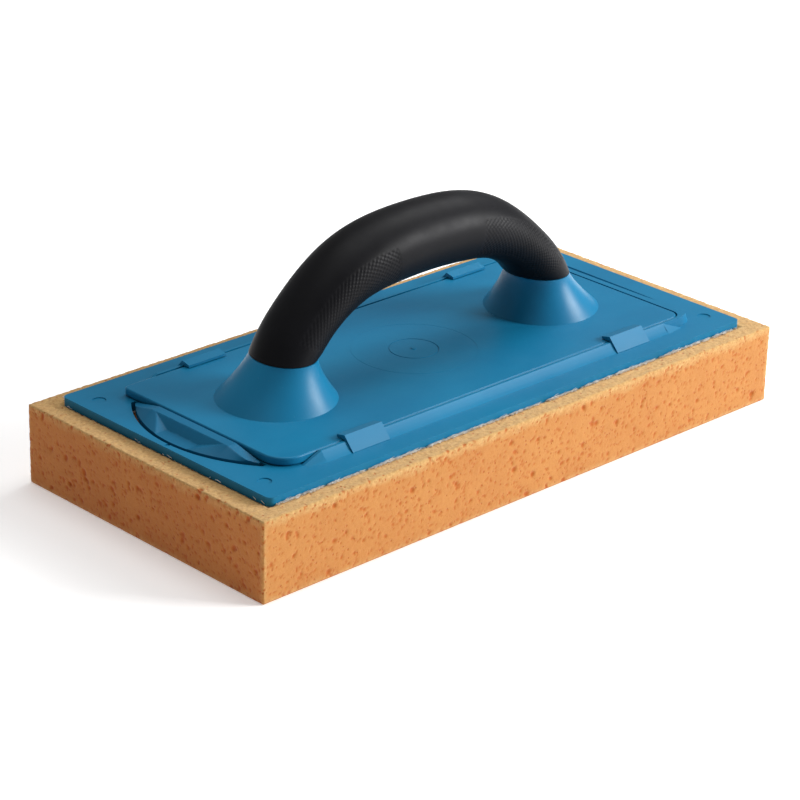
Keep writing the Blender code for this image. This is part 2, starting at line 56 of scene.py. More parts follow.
# Levels and extents read from the frame
SPONGE_LOW, SPONGE_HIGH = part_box("sponge_pad")
FELT_LOW, FELT_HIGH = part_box("bonding_felt")
PLATE_LOW, PLATE_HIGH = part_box("base_plate")
CARRIER_LOW, CARRIER_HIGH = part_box("handle_plate")
LATCH_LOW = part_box("release_latch")[0]
GRIP_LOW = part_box("handle_grip")[0]

SPONGE_TOP = SPONGE_HIGH.z
PLATE_BOTTOM = PLATE_LOW.z
LATCH_THICKNESS = 2.0 * MM
PLATE_TOP = LATCH_LOW.z + LATCH_THICKNESS
PLATE_X = PLATE_HIGH.x
PLATE_Y = PLATE_HIGH.y
PLATE_CORNER = 2.6 * MM
PLATE_BEVEL = 0.4 * MM
PLATE_BEVEL_ANGLE = 14
CARRIER_RISE = 3.5 * MM
CARRIER_TOP = PLATE_TOP + CARRIER_RISE
CARRIER_LEFT = CARRIER_LOW.x
CARRIER_RIGHT = CARRIER_HIGH.x
CARRIER_SIDE = CARRIER_HIGH.y
CARRIER_CORNER = 10 * MM
CARRIER_REAR_CORNER = 2.5 * MM
CARRIER_BEVEL = 0.7 * MM
GAP = 0.3 * MM
THROUGH = 1.0 * MM

# Ridge round the handle plate: widths are taken outward from its inner wall
RIDGE_GAP = 0.5 * MM
STOP_GAP = 0.4 * MM
RIDGE_LEFT = -102.5 * MM
RIDGE_RAMP = 9 * MM
RIDGE_START_DROP = 0.1 * MM
RIDGE_WALL = 1.3 * MM
RIDGE_WALL_FOOT = 1.9 * MM
RIDGE_SLOPE_FOOT = 4.9 * MM
RIDGE_SLOPE_END = 96 * MM
RIDGE_STEP = 0.2 * MM
RIDGE_KNEE_RUN = 0.58
RIDGE_KNEE_RISE = 0.34
WEDGE_TIP = 105 * MM
WEDGE_WALL_END = 102.5 * MM
WEDGE_NARROWING = 1.1 * MM
STOP_WALL = 4.6 * MM
STOP_FOOT = 6.0 * MM
STOP_CORNER = 5 * MM
STOP_CORNER_STEPS = 10
CARRIER_STOP_CORNER = STOP_CORNER - 0.2 * MM
GROOVE_X = 113.0 * MM
GROOVE_START = -28 * MM
GROOVE_END = 58 * MM
GROOVE_WIDTH = 1.3 * MM
GROOVE_DEPTH = 1.3 * MM
GROOVE_STEPS = 16
GROOVE_LEAST_HALF = 0.05 * MM
GROOVE_LEAST_DEPTH = 0.02 * MM
SINK = 0.8 * MM

# Clips over the handle plate's edges
CLIP_LENGTH = 19 * MM
CLIP_CENTRES = (-71.5 * MM, 74 * MM)
CLIP_REACH = 3.8 * MM
CLIP_TONGUE = 1.0 * MM
CLIP_RIDGE = 2.2 * MM
CLIP_PROUD = 0.3 * MM

# Ejector marks and one small gate mark: x, y and radius in millimetres
MARKS = (
    (-121.5, -48, 2.8),
    (-121.5, 48, 2.8),
    (121.5, -48, 2.8),
    (121.5, 48, 2.8),
    (-128.3, -1, 1.0),
)
MARK_DEPTH = 0.35 * MM

# Latch
LATCH_HALF_CHORD = 37 * MM
LATCH_DEPTH = 13.6 * MM
LATCH_REAR = CARRIER_LEFT - 1.2 * MM
LATCH_SLOT = 1.1 * MM
LATCH_ROOT = -84 * MM
LATCH_NECK = 38 * MM
LATCH_END = 35.8 * MM
LATCH_RISE = 3.5 * MM
LATCH_RIM = 3.9 * MM
LATCH_LEVEL = 22 * MM
LATCH_FOOT = 0.5 * MM
LATCH_ARC_STEPS = 48
LATCH_ROWS = 150
LATCH_COLUMNS = 40
TONGUE_OVERLAP = 2 * MM
TONGUE_LOW = 0.05 * MM
TONGUE_DROP = 0.1 * MM
SCOOP_FLOOR = 0.35 * MM
SCOOP_BACK = 3.3 * MM
SCOOP_HALF = 9 * MM
SCOOP_TOP_HALF = 20 * MM

# Bosses and handle, as in the frame
BOSS_FOOT_X = 73.3 * MM
BOSS_TOP_X = 69.8 * MM
BOSS_TOP_Z = GRIP_LOW.z - GAP
BOSS_FOOT_RADIUS = 24 * MM
BOSS_FLARE = 1.35
BOSS_WALL = 2.4 * MM
BOSS_CEILING = 3.0 * MM
BOSS_STEPS = 22
BOSS_AROUND = 96
HOLLOW_STEPS = 16
HOLLOW_AROUND = 64
SOCKET_RADIUS = 7.0 * MM
SOCKET_LOW = BOSS_TOP_Z - 7 * MM
SOCKET_HIGH = BOSS_TOP_Z + 5 * MM
CORE_RADIUS = 6.6 * MM
# Shallow rings round the handle plate's gate: name, radius, width and depth in millimetres
GATE_RINGS = (
    ("gate_ring", 10, 0.4, 0.15),
    ("outer_ring", 25.6, 0.3, 0.04),
)
GATE_DOT_RADIUS = 1.0 * MM
GATE_DOT_RISE = 0.2 * MM
GATE_DOT_SIDES = 20
# From the grip's crown to a foot: centre (x, z), then the half widths across and sideways, in millimetres
HANDLE_STATIONS = (
    ((0.0, 88.2), 14.2, 15.5),
    ((17.5, 87.5), 14.4, 15.5),
    ((33.6, 85.0), 13.4, 15.4),
    ((47.5, 78.6), 11.6, 15.2),
    ((61.5, 67.6), 10.2, 15.0),
    ((69.8, 56.6), 12.0, 14.8),
)

CAMERA_PLACE = (-0.75735, -0.76792, 0.49271)
CAMERA_RIGHT = (0.72189, -0.69164, 0.02239)
CAMERA_UP = (0.2644, 0.30557, 0.91473)
CAMERA_LENS = 131.77
CAMERA_SENSOR = 36
FLOOR_HALF = 6.0
FLOOR_DROP = 0.15 * MM


def new_object(name, mesh):
    made = bpy.data.objects.new(name, mesh)
    bpy.context.scene.collection.objects.link(made)
    return made


def mesh_from(name, points, faces):
    mesh = bpy.data.meshes.new(name)
    mesh.from_pydata([tuple(p) for p in points], [], faces)
    mesh.update()
    return mesh


def facing_out(mesh):
    """Turn every face of a closed mesh outward."""
    shape = bmesh.new()
    shape.from_mesh(mesh)
    bmesh.ops.recalc_face_normals(shape, faces=shape.faces)
    shape.to_mesh(mesh)
    shape.free()
    return mesh


def loft(name, rings, closed=False):
    """A skin through rings of equal count, capped at its ends or joined end to end."""
    points = [p for ring in rings for p in ring]
    count = len(rings[0])
    faces = []
    last = len(rings) if closed else len(rings) - 1
    for r in range(last):
        a = r * count
        b = (r + 1) % len(rings) * count
        for i in range(count):
            j = (i + 1) % count
            faces.append((a + i, a + j, b + j, b + i))
    if not closed:
        faces.append(tuple(range(count))[::-1])
        faces.append(tuple(range((len(rings) - 1) * count, len(rings) * count)))
    return new_object(name, facing_out(mesh_from(name, points, faces)))


def prism(name, outline, axis, start, end):
    """An outline run along an axis from start to end. It is (y, z) for X, (x, z) for Y and (x, y) for Z."""
    def placed(a, b, along):
        if axis == "X":
            return (along, a, b)
        if axis == "Y":
            return (a, along, b)
        return (a, b, along)
    return loft(name, [[placed(a, b, start) for a, b in outline], [placed(a, b, end) for a, b in outline]])


def arc(centre, radius, first, last, steps):
    angles = [math.radians(first + (last - first) * i / steps) for i in range(steps + 1)]
    return [(centre[0] + radius * math.cos(a), centre[1] + radius * math.sin(a)) for a in angles]


def rounded_rectangle(left, right, low, high, radius, steps=8):
    points = []
    for x, y, angle in (
        (right - radius, high - radius, 0),
        (left + radius, high - radius, 90),
        (left + radius, low + radius, 180),
        (right - radius, low + radius, 270),
    ):
        points += arc((x, y), radius, angle, angle + 90, steps)
    return points


def disc(name, x, y, radius, low, high, steps=32):
    return prism(name, arc((x, y), radius, 0, 360 - 360 / steps, steps - 1), "Z", low, high)


def combine(target, tool, operation):
    """Boolean the tool into the target, and remove the tool."""
    step = target.modifiers.new("combine", "BOOLEAN")
    step.operation = operation
    step.solver = "EXACT"
    step.object = tool
    applied(target)
    bpy.data.objects.remove(tool)


def applied(target):
    """Replace an object's mesh with its evaluated one."""
    bpy.context.view_layer.update()
    graph = bpy.context.evaluated_depsgraph_get()
    mesh = bpy.data.meshes.new_from_object(target.evaluated_get(graph))
    target.modifiers.clear()
    old = target.data
    target.data = mesh
    bpy.data.meshes.remove(old)
    return target


def bevelled(target, width, angle=28):
    """Round the edges of a moulded piece, after joining its coplanar faces."""
    flat = target.modifiers.new("flat", "DECIMATE")
    flat.decimate_type = "DISSOLVE"
    flat.angle_limit = math.radians(0.5)
    step = target.modifiers.new("round", "BEVEL")
    step.width = width
    step.segments = 3
    step.limit_method = "ANGLE"
    step.angle_limit = math.radians(angle)
    step.use_clamp_overlap = True
    step.miter_outer = "MITER_ARC"
    applied(target)
    return target


def smooth(target, angle=32):
    target.data.shade_smooth()
    target.data.set_sharp_from_angle(angle=math.radians(angle))
    step = target.modifiers.new("weighted", "WEIGHTED_NORMAL")
    step.keep_sharp = True
    return applied(target)


# ---------------------------------------------------------------- materials

class Nodes:
    """A short way to build a node tree."""

    def __init__(self, name):
        self.material = bpy.data.materials.new(name)
        self.material.use_nodes = True
        self.tree = self.material.node_tree
        self.shader = self.tree.nodes["Principled BSDF"]

    def add(self, kind, **settings):
        node = self.tree.nodes.new(kind)
        for key, value in settings.items():
            setattr(node, key, value)
        return node

    def link(self, output, target):
        self.tree.links.new(output, target)

    def put(self, target, value):
        if isinstance(value, bpy.types.NodeSocket):
            self.link(value, target)
        elif isinstance(value, tuple) and len(value) == 3 and len(target.default_value) == 4:
            target.default_value = (*value, 1.0)
        else:
            target.default_value = value

    def place(self):
        return self.add("ShaderNodeTexCoord").outputs["Object"]

    def noise(self, scale, detail=3.0, rough=0.5, stretch=(1, 1, 1)):
        spread = self.add("ShaderNodeMapping")
        spread.inputs["Scale"].default_value = stretch
        self.link(self.place(), spread.inputs["Vector"])
        node = self.add("ShaderNodeTexNoise")
        node.inputs["Scale"].default_value = scale
        node.inputs["Detail"].default_value = detail
        node.inputs["Roughness"].default_value = rough
        self.link(spread.outputs["Vector"], node.inputs["Vector"])
        return node.outputs["Fac"]

    def cells(self, scale):
        node = self.add("ShaderNodeTexVoronoi", feature="F1")
        node.inputs["Scale"].default_value = scale
        node.inputs["Randomness"].default_value = 1.0
        self.link(self.place(), node.inputs["Vector"])
        return node.outputs["Distance"]

    def attribute(self, name):
        return self.add("ShaderNodeAttribute", attribute_name=name).outputs["Fac"]

    def remap(self, value, from_low, from_high, to_low=0.0, to_high=1.0, curve="LINEAR"):
        node = self.add("ShaderNodeMapRange", interpolation_type=curve)
        self.put(node.inputs["Value"], value)
        node.inputs["From Min"].default_value = from_low
        node.inputs["From Max"].default_value = from_high
        node.inputs["To Min"].default_value = to_low
        node.inputs["To Max"].default_value = to_high
        return node.outputs["Result"]

    def calculate(self, operation, a, b):
        node = self.add("ShaderNodeMath", operation=operation)
        self.put(node.inputs[0], a)
        self.put(node.inputs[1], b)
        return node.outputs[0]

    def mix(self, share, a, b, blend="MIX"):
        node = self.add("ShaderNodeMix", data_type="RGBA", blend_type=blend)
        self.put(node.inputs[0], share)
        self.put(node.inputs[6], a)
        self.put(node.inputs[7], b)
        return node.outputs[2]

    def bump(self, height, distance, strength=1.0, under=None):
        node = self.add("ShaderNodeBump")
        node.inputs["Distance"].default_value = distance
        node.inputs["Strength"].default_value = strength
        self.put(node.inputs["Height"], height)
        if under is not None:
            self.link(under, node.inputs["Normal"])
        return node.outputs["Normal"]


def blue_plastic(name, colour, deep, roughness):
    """Glossy moulded plastic: faint flow marks, handling haze and hairline scratches."""
    n = Nodes(name)
    flow = n.noise(14, 4.0, 0.55, (1.0, 1.6, 1.0))
    haze = n.noise(60, 5.0, 0.65)
    tone = n.mix(n.remap(flow, 0.35, 0.7), colour, deep)
    dust = n.remap(n.noise(900, 2.0, 0.6), 0.70, 0.82)
    faded = n.mix(n.calculate("MULTIPLY", dust, 0.10), tone, (0.35, 0.46, 0.52))
    n.link(faded, n.shader.inputs["Base Color"])
    rough = n.calculate("ADD", roughness - 0.06, n.remap(haze, 0.3, 0.75, 0.0, 0.14))
    n.link(rough, n.shader.inputs["Roughness"])
    n.shader.inputs["Specular IOR Level"].default_value = 0.19
    fine = n.bump(n.noise(2600, 2.0, 0.5), 0.00004, 0.35)
    scratch = n.remap(n.noise(38, 2.0, 0.5, (1.0, 26.0, 1.0)), 0.68, 0.72)
    marks = n.bump(scratch, 0.00003, 0.2, fine)
    sink = n.bump(n.noise(28, 1.0, 0.4), 0.0004, 0.25, marks)
    n.link(sink, n.shader.inputs["Normal"])
    return n.material


def sponge_foam():
    """Open-cell foam: peach skin, paler where the cut edges are worn, with painted shade in its pores and
    painted shade on its end faces.
    """
    n = Nodes("orange_sponge_foam")
    pore = n.attribute("pore")
    pale = n.attribute("pale")
    painted_end_shade = n.attribute("painted_end_shade")
    blotch = n.remap(n.noise(55, 4.0, 0.6), 0.3, 0.72)
    grain = n.remap(n.noise(900, 4.0, 0.75), 0.3, 0.7)
    peach = n.mix(blotch, (0.475, 0.196, 0.046), (0.53, 0.240, 0.060))
    body = n.mix(n.calculate("MULTIPLY", grain, 0.42), peach, (0.41, 0.140, 0.028))
    lint = n.remap(n.noise(760, 4.0, 0.75), 0.34, 0.66)
    tan = n.mix(lint, (0.43, 0.235, 0.078), (0.64, 0.405, 0.155))
    skin = n.mix(pale, body, tan)
    cells = n.cells(900)
    speck = n.remap(cells, 0.12, 0.30, 1.0, 0.0)
    few = n.remap(n.noise(420, 2.0, 0.5), 0.52, 0.62)
    specks = n.calculate("MULTIPLY", n.calculate("MULTIPLY", speck, few), 0.6)
    dotted = n.mix(specks, skin, (0.40, 0.135, 0.032))
    # Small round cells are pitted by bump and painted a darker orange: painted shade in the pits.
    round_cells = n.cells(430)
    hole = n.remap(round_cells, 0.10, 0.27, 1.0, 0.0, "SMOOTHSTEP")
    some = n.remap(n.noise(260, 1.0, 0.5), 0.45, 0.53)
    holes = n.calculate("MULTIPLY", hole, some)
    holed = n.mix(n.calculate("MULTIPLY", holes, 0.85), dotted, (0.41, 0.104, 0.013))
    # Pores are painted a deeper, darker orange, strongest in the big ones: painted shade in the hollows.
    pored = n.mix(n.remap(pore, 0.02, 0.60, 0.0, 0.95), holed, (0.41, 0.102, 0.011))
    # The end faces are multiplied to a deeper, darker orange: painted shade, like the shade on the left end.
    coloured = n.mix(painted_end_shade, pored, n.mix(1.0, pored, (1.0, 0.80, 0.64), "MULTIPLY"))
    n.link(coloured, n.shader.inputs["Base Color"])
    n.shader.inputs["Roughness"].default_value = 0.95
    n.shader.inputs["Specular IOR Level"].default_value = 0.12
    n.shader.inputs["Sheen Weight"].default_value = 0.15
    n.shader.inputs["Sheen Roughness"].default_value = 0.6
    foam = n.bump(n.noise(1100, 4.0, 0.7), 0.0003, 0.6)
    dimple = n.bump(n.calculate("MULTIPLY", specks, -1.0), 0.0002, 0.3, foam)
    pitted = n.bump(n.calculate("MULTIPLY", holes, -1.0), 0.0005, 0.4, dimple)
    n.link(pitted, n.shader.inputs["Normal"])
    return n.material


def fibre_white():
    """Matt white fibre, a little patchy."""
    n = Nodes("white_bonding_fibre")
    patch = n.remap(n.noise(300, 3.0, 0.6), 0.3, 0.7)
    n.link(n.mix(patch, (0.84, 0.84, 0.82), (0.97, 0.97, 0.96)), n.shader.inputs["Base Color"])
    n.shader.inputs["Roughness"].default_value = 0.85
    n.shader.inputs["Sheen Weight"].default_value = 0.2
    n.link(n.bump(n.noise(2200, 3.0, 0.6), 0.0002, 0.7), n.shader.inputs["Normal"])
    return n.material


def grip_rubber():
    """Black soft overmould, a little greasy where the hand lies."""
    n = Nodes("black_soft_grip")
    worn = n.remap(n.noise(26, 4.0, 0.6), 0.35, 0.7)
    n.link(n.mix(worn, (0.0045, 0.0045, 0.0055), (0.0085, 0.0085, 0.0105)), n.shader.inputs["Base Color"])
    rough = n.calculate("ADD", 0.40, n.remap(n.noise(70, 5.0, 0.6), 0.3, 0.7, 0.0, 0.12))
    n.link(rough, n.shader.inputs["Roughness"])
    n.shader.inputs["Specular IOR Level"].default_value = 0.11
    n.link(n.bump(n.noise(2400, 3.0, 0.6), 0.00005, 0.5), n.shader.inputs["Normal"])
    return n.material


def zinc_steel():
    """Zinc-plated steel, a little cloudy."""
    n = Nodes("zinc_plated_steel")
    cloud = n.remap(n.noise(260, 4.0, 0.6), 0.3, 0.7)
    n.link(n.mix(cloud, (0.52, 0.53, 0.52), (0.68, 0.68, 0.64)), n.shader.inputs["Base Color"])
    n.shader.inputs["Metallic"].default_value = 1.0
    n.link(n.remap(cloud, 0.0, 1.0, 0.26, 0.42), n.shader.inputs["Roughness"])
    n.link(n.bump(n.noise(1800, 2.0, 0.5), 0.00003, 0.4), n.shader.inputs["Normal"])
    return n.material


def hard_core_plastic():
    """Hard black plastic of the core."""
    n = Nodes("black_hard_plastic")
    cloud = n.remap(n.noise(90, 4.0, 0.6), 0.3, 0.7)
    n.link(n.mix(cloud, (0.02, 0.02, 0.021), (0.035, 0.035, 0.036)), n.shader.inputs["Base Color"])
    n.link(n.remap(cloud, 0.0, 1.0, 0.38, 0.52), n.shader.inputs["Roughness"])
    n.link(n.bump(n.noise(2000, 2.0, 0.5), 0.00004, 0.4), n.shader.inputs["Normal"])
    return n.material


def studio_floor():
    n = Nodes("studio_floor")
    n.shader.inputs["Base Color"].default_value = (0.95, 0.95, 0.95, 1.0)
    n.shader.inputs["Emission Color"].default_value = (1.0, 1.0, 1.0, 1.0)
    n.shader.inputs["Emission Strength"].default_value = 0.28
    n.shader.inputs["Roughness"].default_value = 0.9
    n.shader.inputs["Specular IOR Level"].default_value = 0.1
    return n.material


# ---------------------------------------------------------------- sponge

SPONGE_CELLS = (400, 196, 48)
SPONGE_RING = 15
SPONGE_EDGE = 0.35 * MM
SEAT_MARGIN = 0.3 * MM
POCKET_FLOOR = 26.5 * MM
SEAT_CLEARANCE = 0.4 * MM
SEAT_DROP = SPONGE_TOP - FELT_LOW.z + SEAT_CLEARANCE
PORES_PER_MM2 = 0.17
PALE_EDGE = 3.2 * MM
PALE_CORNER = 2.2 * MM
RELIEF_EDGE = 1.6 * MM
# Depths of the sponge's relief, and the scales of the noises that shape it
SWELL = 0.04 * MM
SWELL_SCALE = 70
GRAIN = 0.08 * MM
GRAIN_SCALE = 620
FINE_GRAIN_SCALE = 1500
EDGE_WEAR = 0.06 * MM
TOP_FUZZ = 0.16 * MM
SKIN_PROUD = 0.2 * MM
SKIN_LIMIT = 0.3 * MM
# Share of the pores up to each size, and the smallest and largest radius in millimetres
PORE_SIZES = (
    (0.86, 0.35, 0.65),
    (0.98, 0.65, 1.0),
    (1.0, 1.0, 1.5),
)


def lattice_shell():
    """A box's surface as lattice points and faces: fine sides, a fine ring on top, coarser cells below."""
    nx, ny, nz = SPONGE_CELLS
    index = {}

    def at(i, j, k):
        return index.setdefault((i, j, k), len(index))

    faces = []
    for i in range(nx):
        for k in range(nz):
            faces.append((at(i, 0, k), at(i + 1, 0, k), at(i + 1, 0, k + 1), at(i, 0, k + 1)))
            faces.append((at(i, ny, k), at(i, ny, k + 1), at(i + 1, ny, k + 1), at(i + 1, ny, k)))
    for j in range(ny):
        for k in range(nz):
            faces.append((at(0, j, k), at(0, j, k + 1), at(0, j + 1, k + 1), at(0, j + 1, k)))
            faces.append((at(nx, j, k), at(nx, j + 1, k), at(nx, j + 1, k + 1), at(nx, j, k + 1)))
    for i in range(nx):
        for j in range(ny):
            inside = SPONGE_RING <= i < nx - SPONGE_RING and SPONGE_RING <= j < ny - SPONGE_RING
            if not inside:
                faces.append((at(i, j, nz), at(i + 1, j, nz), at(i + 1, j + 1, nz), at(i, j + 1, nz)))
    for i in range(0, nx, 2):
        for j in range(0, ny, 2):
            face = [at(i, j, 0)]
            if i == 0:
                face.append(at(i, j + 1, 0))
            face.append(at(i, j + 2, 0))
            if j + 2 == ny:
                face.append(at(i + 1, j + 2, 0))
            face.append(at(i + 2, j + 2, 0))
            if i + 2 == nx:
                face.append(at(i + 2, j + 1, 0))
            face.append(at(i + 2, j, 0))
            if j == 0:
                face.append(at(i + 1, j, 0))
            faces.append(tuple(face))
    return np.array(list(index), float), faces


def add_pores(points, draw):
    """Depth of the pores at each point, and how much of the point lies in one, which the foam material
    paints as shade in the pores.
    """
    tree = KDTree(len(points))
    for i, point in enumerate(points):
        tree.insert(point, i)
    tree.balance()
    size = (SPONGE_HIGH - SPONGE_LOW) / MM
    walls = (
        (0, SPONGE_LOW),
        (0, SPONGE_HIGH),
        (1, SPONGE_LOW),
        (1, SPONGE_HIGH),
        (2, SPONGE_LOW),
    )
    depth = np.zeros(len(points))
    share = np.zeros(len(points))
    for axis, wall in walls:
        first, second = [a for a in range(3) if a != axis]
        for _ in range(int(size[first] * size[second] * PORES_PER_MM2)):
            centre = Vector([draw.uniform(SPONGE_LOW[a], SPONGE_HIGH[a]) for a in range(3)])
            centre[axis] = wall[axis]
            pick = draw.random()
            smallest, largest = next((low, high) for limit, low, high in PORE_SIZES if pick < limit)
            radius = draw.uniform(smallest, largest) * MM
            long = draw.uniform(1.0, 1.6)
            turn = draw.uniform(0, math.pi)
            deep = radius * draw.uniform(0.35, 0.7)
            strength = min(1.0, 0.45 + 0.5 * radius / (1.3 * MM))
            for co, i, _ in tree.find_range(centre, radius * long):
                a = (co[first] - centre[first]) / radius
                b = (co[second] - centre[second]) / radius
                u = (a * math.cos(turn) + b * math.sin(turn)) / long
                v = -a * math.sin(turn) + b * math.cos(turn)
                inside = 1 - u * u - v * v
                if inside > 0:
                    fall = inside ** 1.2
                    depth[i] = max(depth[i], deep * fall)
                    share[i] = max(share[i], strength * fall)
    return depth, share


def sponge():
    """The pad as one skin with pores, a worn pale edge, and a seat and a pocket in its top."""
    draw = random.Random(SEED)
    lattice, faces = lattice_shell()
    low = np.array(SPONGE_LOW)
    high = np.array(SPONGE_HIGH)
    points = low + (high - low) * lattice / np.array(SPONGE_CELLS)
    core = np.clip(points, low + SPONGE_EDGE, high - SPONGE_EDGE)
    away = points - core
    reach = np.linalg.norm(away, axis=1, keepdims=True)
    normals = away / np.maximum(reach, 1e-9)
    points = core + normals * SPONGE_EDGE
    depth, share = add_pores(points, draw)

    edge = np.sort(np.minimum(points - low, high - points), axis=1)[:, 1]
    top = lattice[:, 2] >= SPONGE_CELLS[2]
    underside = lattice[:, 2] <= 0
    side = ~(top | underside)
    from_top = high[2] - points[:, 2]
    in_length = np.abs(points[:, 0]) < PLATE_X + SEAT_MARGIN
    in_width = np.abs(points[:, 1]) < PLATE_Y + SEAT_MARGIN
    seat = top & in_length & in_width

    slow = np.array([noise.noise(Vector(p) * SWELL_SCALE) for p in points])
    fast = np.array([noise.noise(Vector(p) * GRAIN_SCALE) for p in points])
    finest = np.array([noise.noise(Vector(p) * FINE_GRAIN_SCALE + Vector((5, 5, 5))) for p in points])

    pale = np.zeros(len(points))
    near_top = np.clip(1 - from_top / (PALE_EDGE * (1.2 + 0.8 * slow)), 0, 1)
    near_edge = np.clip(1 - edge / PALE_CORNER, 0, 1)
    pale[side] = np.maximum(near_top[side] ** 0.7, 0.8 * near_edge[side])
    pale[top] = 1.0
    pale = np.clip(pale + 0.35 * fast * (pale > 0.02), 0, 1)

    straight = np.clip(edge / RELIEF_EDGE, 0, 1)
    inward = depth * (0.25 + 0.75 * straight) + SWELL * (1 + slow)
    inward += GRAIN * np.clip(fast + 0.5, 0, 1.5) + GRAIN * (finest + 0.5)
    inward += EDGE_WEAR * near_edge * np.clip(0.3 + fast, 0, 1.3)
    fuzz = np.clip(0.55 + fast[top] + 0.6 * finest[top], 0, 1.5)
    inward[top] += TOP_FUZZ * fuzz * (0.3 + 0.7 * straight[top])
    inward -= SKIN_PROUD
    inward[underside] = np.maximum(inward[underside], 0)
    points = points - normals * np.maximum(inward, -SKIN_LIMIT)[:, None]
    points[:, 2] = np.maximum(points[:, 2], SPONGE_LOW.z)
    points[seat, 2] = SPONGE_TOP - SEAT_DROP

    mesh = mesh_from("sponge", points, faces)
    shape = bmesh.new()
    shape.from_mesh(mesh)
    close_seat(shape)
    bmesh.ops.recalc_face_normals(shape, faces=shape.faces)
    shape.to_mesh(mesh)
    shape.free()
    # Marks the end faces for the painted shade that the foam material puts on them.
    painted_end_shade = (side & (np.abs(normals[:, 0]) > 0.7)).astype(float)
    # The pore share goes to the material as painted shade in the pores.
    for name, values in (("pore", share), ("pale", pale), ("painted_end_shade", painted_end_shade)):
        layer = mesh.attributes.new(name, "FLOAT", "POINT")
        full = np.zeros(len(mesh.vertices), np.float32)
        full[: len(values)] = values
        layer.data.foreach_set("value", full)
    mesh.shade_smooth()
    return new_object("sponge", mesh)


def close_seat(shape):
    """Fill the seat under the plate, with a pocket for the latch to be pressed into."""
    rim = [e for e in shape.edges if e.is_boundary]
    level = SPONGE_TOP - SEAT_DROP
    outline = latch_outline()
    upper = [shape.verts.new((x, y, level)) for x, y in outline]
    lower = [shape.verts.new((x, y, POCKET_FLOOR)) for x, y in outline]
    count = len(outline)
    mouth = [shape.edges.new((upper[i], upper[(i + 1) % count])) for i in range(count)]
    bmesh.ops.triangle_fill(shape, use_beauty=True, edges=rim + mouth)
    for i in range(count):
        j = (i + 1) % count
        shape.faces.new((upper[i], upper[j], lower[j], lower[i]))
    shape.faces.new(lower)


# ---------------------------------------------------------------- felt and fringe

FELT_SHORT = 0.9 * MM
FRINGE_STEP = 0.3 * MM
FRINGE_LAYERS = 5
FRINGE_OUT = 0.1 * MM
FRINGE_DROP = 0.2 * MM
LEFT_END_FULLNESS = 0.04
RIGHT_END_FULLNESS = 0.35
STRAND_RINGS = 4
STRAND_SIDES = 3
STRAND_SHORTEST = 0.7
STRAND_LONGEST = 1.1
STRAND_TUFT = 0.9
STRAND_THIN = 0.16 * MM
STRAND_THICK = 0.30 * MM


def felt_layer():
    """The thin flat felt between the sponge and the plate."""
    outline = rounded_rectangle(
        FELT_LOW.x + FELT_SHORT,
        FELT_HIGH.x - FELT_SHORT,
        FELT_LOW.y + FELT_SHORT,
        FELT_HIGH.y - FELT_SHORT,
        PLATE_CORNER - FELT_SHORT,
    )
    felt = prism("bonding_felt_layer", outline, "Z", FELT_LOW.z, FELT_HIGH.z)
    window = prism("felt_window", latch_outline(), "Z", FELT_LOW.z - THROUGH, FELT_HIGH.z + THROUGH)
    combine(felt, window, "DIFFERENCE")
    return smooth(felt)


